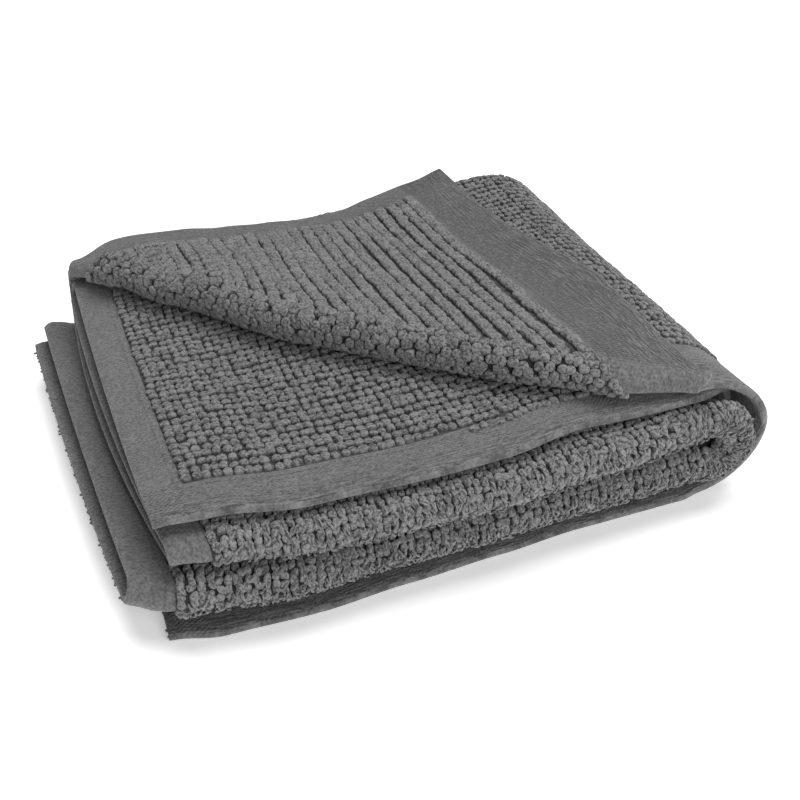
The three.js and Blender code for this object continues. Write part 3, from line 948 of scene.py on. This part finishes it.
def fold_rows(kind, shares, style, sides, pitch):
    sets = []
    for share in shares:
        spots = [lattice_row(SIDE_HEM + SIDE_CLEAR, END_X, pitch)]
        fine = END_X + FOLD_SPAN * np.linspace(0, 1, PATH_POINTS)
        path = stack_at(kind, np.full(PATH_POINTS, share), fine)
        run = np.concatenate([[0], np.cumsum(np.linalg.norm(np.diff(path, axis=0), axis=1))])
        n = max(2, int(run[-1] * FOLD_FILL / pitch))
        spots.append(np.interp((np.arange(n) + 0.5) / n * run[-1], run, fine))
        spots.append(U_TOTAL - lattice_row(SIDE_HEM + SIDE_CLEAR, END_X, pitch))
        a = np.concatenate(spots)
        b = share + rng.normal(0, SHARE_LOOSE, len(a))
        covered = np.where(a > U_TOTAL - PRESSED_LEFT, PRESSED_SHARE_LEFT, PRESSED_SHARE_RIGHT)
        hidden = (kind == "one>outer:back") & (b > covered) & (a > U_TOTAL - END_X + PRESSED_RIGHT)
        b = np.clip(b, *SHARE_ENDS)
        place = lambda p, q: stack_at(kind, q, p)
        sets.append(facing(place, a[~hidden], b[~hidden], style, sides, SHARE_STEPS))
        if hidden.any():
            low_style = dict(style, height=PRESSED_HEIGHT)
            sets.append(facing(place, a[hidden], b[hidden], low_style, sides, SHARE_STEPS))
    return sets


def lattice_row(u0, u1, pitch):
    n = int((u1 - u0) / pitch)
    return u0 + (np.arange(n) + 0.5) * (u1 - u0) / n + rng.normal(0, ROW_LOOSE, n)


BACK_ROWS = 10
shares = (np.arange(BACK_ROWS) + 0.5) / BACK_ROWS
back_sets = fold_rows("one>outer:back", shares, STYLE_REAR, BACK, REAR_PITCH)
pile_back = pile_mesh("pile_back", *back_sets)

FRONT_ROWS = 7
LEG_DEPTHS = (0.009, 0.027, 0.045, 0.063)
LEG_STEPS = (0.4, 0.004)
shares = (np.arange(FRONT_ROWS) + 0.5) / FRONT_ROWS
front_sets = fold_rows("two>one:front", shares, STYLE_FOLD, FRONT, FRONT_PITCH)
for leg, sign in (("two", 1), ("one", -1)):
    for depth in LEG_DEPTHS:
        for lower_half in (True, False):
            spot = lattice_row(SIDE_HEM + SIDE_CLEAR, END_X, FRONT_PITCH)
            a = spot if lower_half else U_TOTAL - spot
            place = lambda p, q, leg=leg: stack_at(leg, q, p)
            side = UP if (sign > 0) != lower_half else DOWN
            front_sets.append(facing(place, a, np.full(len(a), depth), STYLE_FOLD, side, LEG_STEPS))
pile_front = pile_mesh("pile_front", *front_sets)

# Curled loops that stand off the front folds, and loose yarn along the left ends of two layers
STRAY_STEPS = 7
STRAY_RADIUS = 0.4
STRAY_TURN = 0.9
STRAY_SIZE = (1.0, 1.7)
STRAY_CURL = 0.6
STRAY_HEIGHT = 0.7
FRAY_STEPS = 5
FRAY_RADIUS = 0.45
FRAY_START = 0.6
FRAY_LENGTH = (0.4, 1.2)
FRAY_BEND = 0.45


def stray_loops(a, b, lift):
    middle, ta, tb, normal = frames(lambda p, q: stack_at("two>one:front", q, p), a, b, *SHARE_STEPS)
    normal = normal * np.where(normal[:, 1] > 0, -1.0, 1.0)[:, None]
    turn = rng.uniform(-STRAY_TURN, STRAY_TURN, len(a))[:, None]
    side = tb * np.cos(turn) + ta * np.sin(turn)
    size = rng.uniform(*STRAY_SIZE, len(a))[:, None, None]
    angles = np.linspace(-STRAY_CURL, np.pi + STRAY_CURL, STRAY_STEPS)[None, :, None]
    arc = side[:, None, :] * np.cos(angles) + STRAY_HEIGHT * normal[:, None, :] * np.sin(angles)
    return strand_set(middle[:, None, :] + normal[:, None, :] * lift + size * arc, STRAY_RADIUS)


def frayed_end(kind, count):
    depth = rng.uniform(0.0, 1.0, count)
    start = soften(stack_at(kind, depth, np.full(count, FRAY_START)))
    way_x = -rng.uniform(0.5, 1.0, count)
    way_y = rng.normal(0, 0.5, count)
    way_z = rng.normal(-0.2, 0.4, count)
    way = np.stack([way_x, way_y, way_z], 1)
    bend = rng.normal(0, FRAY_BEND, (count, 3))
    length = rng.uniform(*FRAY_LENGTH, count)[:, None, None]
    t = np.linspace(0, 1, FRAY_STEPS)[None, :, None]
    lines = start[:, None, :] + length * (way[:, None, :] * t + bend[:, None, :] * t ** 2)
    return strand_set(lines, FRAY_RADIUS)


LOW_STRAYS = 620
HIGH_STRAYS = 300
LOW_SHARES = (0.02, 0.6)
HIGH_SHARES = (0.15, 0.95)
STRAY_CLEAR = 2
LOW_LIFT = GROUND + 1.5
HIGH_LIFT = GROUND + 1.3
LONG_FRAY = 150
SHORT_FRAY = 120
low_u = rng.uniform(SIDE_HEM + STRAY_CLEAR, END_X + FOLD_SPAN / 2, LOW_STRAYS)
low_share = rng.uniform(*LOW_SHARES, LOW_STRAYS)
high_u = rng.uniform(END_X + FOLD_SPAN / 2, U_TOTAL - SIDE_HEM - STRAY_CLEAR, HIGH_STRAYS)
high_share = rng.uniform(*HIGH_SHARES, HIGH_STRAYS)
pile_stray = pile_mesh(
    "pile_stray",
    stray_loops(low_u, low_share, LOW_LIFT),
    stray_loops(high_u, high_share, HIGH_LIFT),
    frayed_end("two", LONG_FRAY),
    frayed_end("outer", SHORT_FRAY),
)

# The underside
u, v = lattice(SIDE_HEM + SIDE_CLEAR, END_X, TOP_HEM + HEM_CLEAR, BACK_Y)
pile_base = pile_mesh("pile_base", facing(
    lambda a, b: stack_at("outer", b / BACK_Y, a), u, v, STYLE_BASE, DOWN))


# Materials
def new_material(name):
    material = bpy.data.materials.new(name)
    material.use_nodes = True
    tree = material.node_tree
    shader = tree.nodes["Principled BSDF"]
    shader.inputs["Specular IOR Level"].default_value = 0.15
    shader.inputs["Sheen Weight"].default_value = 0.25
    shader.inputs["Sheen Roughness"].default_value = 0.55
    shader.inputs["Roughness"].default_value = 0.95
    return material, tree, shader


def node(tree, kind, **inputs):
    made = tree.nodes.new(kind)
    for key, value in inputs.items():
        made.inputs[key.replace("_", " ")].default_value = value
    return made


def math_node(tree, operation, a, b=None):
    made = tree.nodes.new("ShaderNodeMath")
    made.operation = operation
    for slot, value in ((0, a), (1, b)):
        if value is None:
            continue
        if isinstance(value, (int, float)):
            made.inputs[slot].default_value = value
        else:
            tree.links.new(value, made.inputs[slot])
    return made.outputs[0]


def add_scaled(tree, total, value, factor):
    return math_node(tree, "ADD", total, math_node(tree, "MULTIPLY", value, factor))


def attribute(tree, name):
    made = tree.nodes.new("ShaderNodeAttribute")
    made.attribute_name = name
    return made.outputs["Fac"]


def grey_ramp(tree, fac, dark, light):
    ramp = tree.nodes.new("ShaderNodeValToRGB")
    ramp.color_ramp.elements[0].color = (dark, dark, dark, 1)
    ramp.color_ramp.elements[1].color = (light, light, light, 1)
    tree.links.new(fac, ramp.inputs[0])
    return ramp.outputs[0]


# Darkest and lightest grey of the yarn, of the ground between loops, which is painted near black as shade in
# the gaps, and of the hems
YARN_GREYS = (0.045, 0.205)
PAINTED_SHADE_GROUND_GREYS = (0.014, 0.05)
HEM_GREYS = (0.05, 0.182)

# Contrast of the yarn's fibres and plies
FIBRE_CONTRAST = 4.2
FIBRE_OFFSET = -2.85
PLY_CONTRAST = 2.5
DRIFT_CONTRAST = 0.15
PLY_RELIEF = 1.5

yarn, tree, shader = new_material("terry_yarn")
shade = attribute(tree, "shade")
uv_node = tree.nodes.new("ShaderNodeUVMap")
uv_node.uv_map = "weave"
position = tree.nodes.new("ShaderNodeTexCoord")
strand_place = tree.nodes.new("ShaderNodeMapping")
strand_place.inputs["Scale"].default_value = (1.1, 0.28, 1)
tree.links.new(uv_node.outputs["UV"], strand_place.inputs["Vector"])
ply = node(tree, "ShaderNodeTexNoise", Scale=1.0, Detail=2.0, Roughness=0.55, Distortion=0.8)
tree.links.new(strand_place.outputs["Vector"], ply.inputs["Vector"])
fibre = node(tree, "ShaderNodeTexNoise", Scale=1150.0, Detail=3.0, Roughness=0.7)
tree.links.new(position.outputs["Object"], fibre.inputs["Vector"])
drift = node(tree, "ShaderNodeTexNoise", Scale=45.0, Detail=2.0)
tree.links.new(position.outputs["Object"], drift.inputs["Vector"])
tone = add_scaled(tree, FIBRE_OFFSET, fibre.outputs["Fac"], FIBRE_CONTRAST)
tone = math_node(tree, "ADD", tone, shade)
tone = add_scaled(tree, tone, ply.outputs["Fac"], PLY_CONTRAST)
tone = add_scaled(tree, tone, drift.outputs["Fac"], DRIFT_CONTRAST)
tree.links.new(grey_ramp(tree, tone, *YARN_GREYS), shader.inputs["Base Color"])
bump = node(tree, "ShaderNodeBump", Strength=0.8, Distance=0.0006)
height = add_scaled(tree, fibre.outputs["Fac"], ply.outputs["Fac"], PLY_RELIEF)
tree.links.new(height, bump.inputs["Height"])
tree.links.new(bump.outputs["Normal"], shader.inputs["Normal"])

# The ground between loops: painted shade, near black and darker away from the middle of each cell, for the
# dark gaps between loops
ground, tree, shader = new_material("terry_ground_painted_shade")
uv_node = tree.nodes.new("ShaderNodeUVMap")
uv_node.uv_map = "weave"
beads = node(tree, "ShaderNodeTexVoronoi", Scale=260.0)
tree.links.new(uv_node.outputs["UV"], beads.inputs["Vector"])
position = tree.nodes.new("ShaderNodeTexCoord")
fibre = node(tree, "ShaderNodeTexNoise", Scale=1500.0, Detail=3.0)
tree.links.new(position.outputs["Object"], fibre.inputs["Vector"])
tone = add_scaled(tree, fibre.outputs["Fac"], beads.outputs["Distance"], -0.4)
tree.links.new(grey_ramp(tree, tone, *PAINTED_SHADE_GROUND_GREYS), shader.inputs["Base Color"])
bump = node(tree, "ShaderNodeBump", Strength=0.8, Distance=0.0012)
bump.invert = True
tree.links.new(beads.outputs["Distance"], bump.inputs["Height"])
tree.links.new(bump.outputs["Normal"], shader.inputs["Normal"])

# The hems: woven dots, weft lines along the end hems, a dark stitched line inside the edge, and painted
# shade that darkens the hems of the turned corner
WEAVE_PITCH = 0.0017
WEFT_SCALE = (130, 1450, 1)
LINES_FROM = 5.0
LINES_SPAN = 8.0
LINES_LEAST = 0.25
STITCH_AT = 2.0
STITCH_SHARP = 2.2
hem, tree, shader = new_material("hem_weave")
uv_node = tree.nodes.new("ShaderNodeUVMap")
uv_node.uv_map = "weave"
split = tree.nodes.new("ShaderNodeSeparateXYZ")
tree.links.new(uv_node.outputs["UV"], split.inputs[0])
turns = 2 * math.pi / WEAVE_PITCH
wave_u = math_node(tree, "SINE", math_node(tree, "MULTIPLY", split.outputs[0], turns))
wave_v = math_node(tree, "SINE", math_node(tree, "MULTIPLY", split.outputs[1], turns))
weave = math_node(tree, "MULTIPLY", wave_u, wave_v)
position = tree.nodes.new("ShaderNodeTexCoord")
fibre = node(tree, "ShaderNodeTexNoise", Scale=800.0, Detail=4.0, Roughness=0.75)
tree.links.new(position.outputs["Object"], fibre.inputs["Vector"])
slub = node(tree, "ShaderNodeTexNoise", Scale=60.0, Detail=2.0)
tree.links.new(position.outputs["Object"], slub.inputs["Vector"])
weft_place = tree.nodes.new("ShaderNodeMapping")
weft_place.inputs["Scale"].default_value = WEFT_SCALE
tree.links.new(uv_node.outputs["UV"], weft_place.inputs["Vector"])
weft = node(tree, "ShaderNodeTexNoise", Scale=1.0, Detail=2.0, Roughness=0.5, Distortion=0.6)
tree.links.new(weft_place.outputs["Vector"], weft.inputs["Vector"])
lines = math_node(tree, "SUBTRACT", weft.outputs["Fac"], 0.5)
lines = math_node(tree, "MULTIPLY", lines, attribute(tree, "end_hem"))
seam_line = attribute(tree, "seam")
toward_edge = math_node(tree, "SUBTRACT", seam_line, LINES_FROM)
toward_edge = math_node(tree, "DIVIDE", toward_edge, LINES_SPAN)
toward_edge = math_node(tree, "MINIMUM", math_node(tree, "MAXIMUM", toward_edge, LINES_LEAST), 1.0)
lines = math_node(tree, "MULTIPLY", lines, toward_edge)
stitch = math_node(tree, "ABSOLUTE", math_node(tree, "SUBTRACT", seam_line, STITCH_AT))
stitch = math_node(tree, "MAXIMUM", add_scaled(tree, 1.0, stitch, -STITCH_SHARP), 0.0)
dots = math_node(tree, "MULTIPLY", weave, attribute(tree, "corner"))
tone = -0.98
height = 0.0
for value, contrast, relief in (
    (fibre.outputs["Fac"], 2.6, 2.0),
    (weave, 0.06, 0.5),
    (dots, 0.2, 0.8),
    (slub.outputs["Fac"], 0.3, 0.0),
    (lines, 2.4, 9.0),
    (stitch, -0.22, -1.0),
    # Painted shade: the turned corner's hems darker
    (attribute(tree, "turned"), -0.34, 0.0),
):
    tone = add_scaled(tree, tone, value, contrast)
    height = add_scaled(tree, height, value, relief)
tree.links.new(grey_ramp(tree, tone, *HEM_GREYS), shader.inputs["Base Color"])
bump = node(tree, "ShaderNodeBump", Strength=0.7, Distance=0.0003)
tree.links.new(height, bump.inputs["Height"])
tree.links.new(bump.outputs["Normal"], shader.inputs["Normal"])

HEM_LIMIT = -0.3
cloth.data.materials.append(hem)
cloth.data.materials.append(ground)
# Hem faces take the hem weave, and all terry faces take the near-black ground of painted shade
seam_all = np.concatenate([node_seam, node_seam])
face_kind = [0 if np.mean([seam_all[n] for n in f]) > HEM_LIMIT else 1 for f in faces]
cloth.data.polygons.foreach_set("material_index", face_kind)
cloth.data.update()

pile_pieces = [pile_top, pile_flap, pile_end, pile_back, pile_front, pile_stray, pile_base]
for piece in pile_pieces:
    piece.data.materials.append(yarn)
for piece in [cloth] + pile_pieces:
    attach(piece, "root")
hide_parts("towel")

# Floor, light and camera
FLOOR = 4.0
FLOOR_GREY = 0.92
FLOOR_GLOW = 0.33
WORLD_GLOW = 0.12
floor_mesh = bpy.data.meshes.new("floor")
floor_corners = [(-FLOOR, -FLOOR, 0), (FLOOR, -FLOOR, 0), (FLOOR, FLOOR, 0), (-FLOOR, FLOOR, 0)]
floor_mesh.from_pydata(floor_corners, [], [(0, 1, 2, 3)])
floor = bpy.data.objects.new("floor", floor_mesh)
bpy.context.scene.collection.objects.link(floor)
floor_material = bpy.data.materials.new("floor_pale")
floor_material.use_nodes = True
floor_shader = floor_material.node_tree.nodes["Principled BSDF"]
floor_shader.inputs["Base Color"].default_value = (FLOOR_GREY, FLOOR_GREY, FLOOR_GREY, 1)
floor_shader.inputs["Roughness"].default_value = 0.9
floor_shader.inputs["Emission Color"].default_value = (1, 1, 1, 1)
floor_shader.inputs["Emission Strength"].default_value = FLOOR_GLOW
floor_mesh.materials.append(floor_material)

world = bpy.data.worlds.new("studio")
world.use_nodes = True
world.node_tree.nodes["Background"].inputs["Color"].default_value = (1, 1, 1, 1)
world.node_tree.nodes["Background"].inputs["Strength"].default_value = WORLD_GLOW
bpy.context.scene.world = world


def facing_light(name, kind, place, target):
    data = bpy.data.lights.new(name, kind)
    lamp = bpy.data.objects.new(name, data)
    direction = np.asarray(target, float) - np.asarray(place, float)
    back = -direction / np.linalg.norm(direction)
    right = np.cross((0, 1, 0.01), back)
    right /= np.linalg.norm(right)
    up = np.cross(back, right)
    matrix = np.eye(4)
    matrix[:3, 0] = right
    matrix[:3, 1] = up
    matrix[:3, 2] = back
    matrix[:3, 3] = place
    lamp.matrix_world = Matrix(matrix.tolist())
    bpy.context.scene.collection.objects.link(lamp)
    return data


TARGET = (0, 0, 0.03)
key = facing_light("key", "SUN", (0.3, 0.2, 1.6), TARGET)
key.energy = 3.2
key.angle = 0.9
fill = facing_light("fill", "AREA", (0.25, -1.3, 0.55), TARGET)
fill.shape = "DISK"
fill.size = 0.9
fill.energy = 13

# The photo's camera: angles in radians, focal length in pixels, eye in millimetres
AZIMUTH = 0.34455
ELEVATION = 0.56785
ROLL = -0.02706
FOCAL_PIXELS = 1185.38
PHOTO_PIXELS = 800
SENSOR = 36
EYE = np.array([-23.793, -298.317, 275.116])
ahead = np.array([
    math.sin(AZIMUTH) * math.cos(ELEVATION),
    math.cos(AZIMUTH) * math.cos(ELEVATION),
    -math.sin(ELEVATION),
])
right = np.cross(ahead, (0, 0, 1))
right /= np.linalg.norm(right)
up = np.cross(right, ahead)
matrix = np.eye(4)
matrix[:3, 0] = math.cos(ROLL) * right + math.sin(ROLL) * up
matrix[:3, 1] = -math.sin(ROLL) * right + math.cos(ROLL) * up
matrix[:3, 2] = -ahead
matrix[:3, 3] = (EYE - CENTRE) / 1000
camera_data = bpy.data.cameras.new("camera")
camera_data.sensor_width = SENSOR
camera_data.lens = FOCAL_PIXELS / PHOTO_PIXELS * SENSOR
camera_data.clip_start = 0.01
camera = bpy.data.objects.new("camera", camera_data)
camera.matrix_world = Matrix(matrix.tolist())
bpy.context.scene.collection.objects.link(camera)
bpy.context.scene.camera = camera
bpy.context.scene.view_settings.view_transform = "Standard"
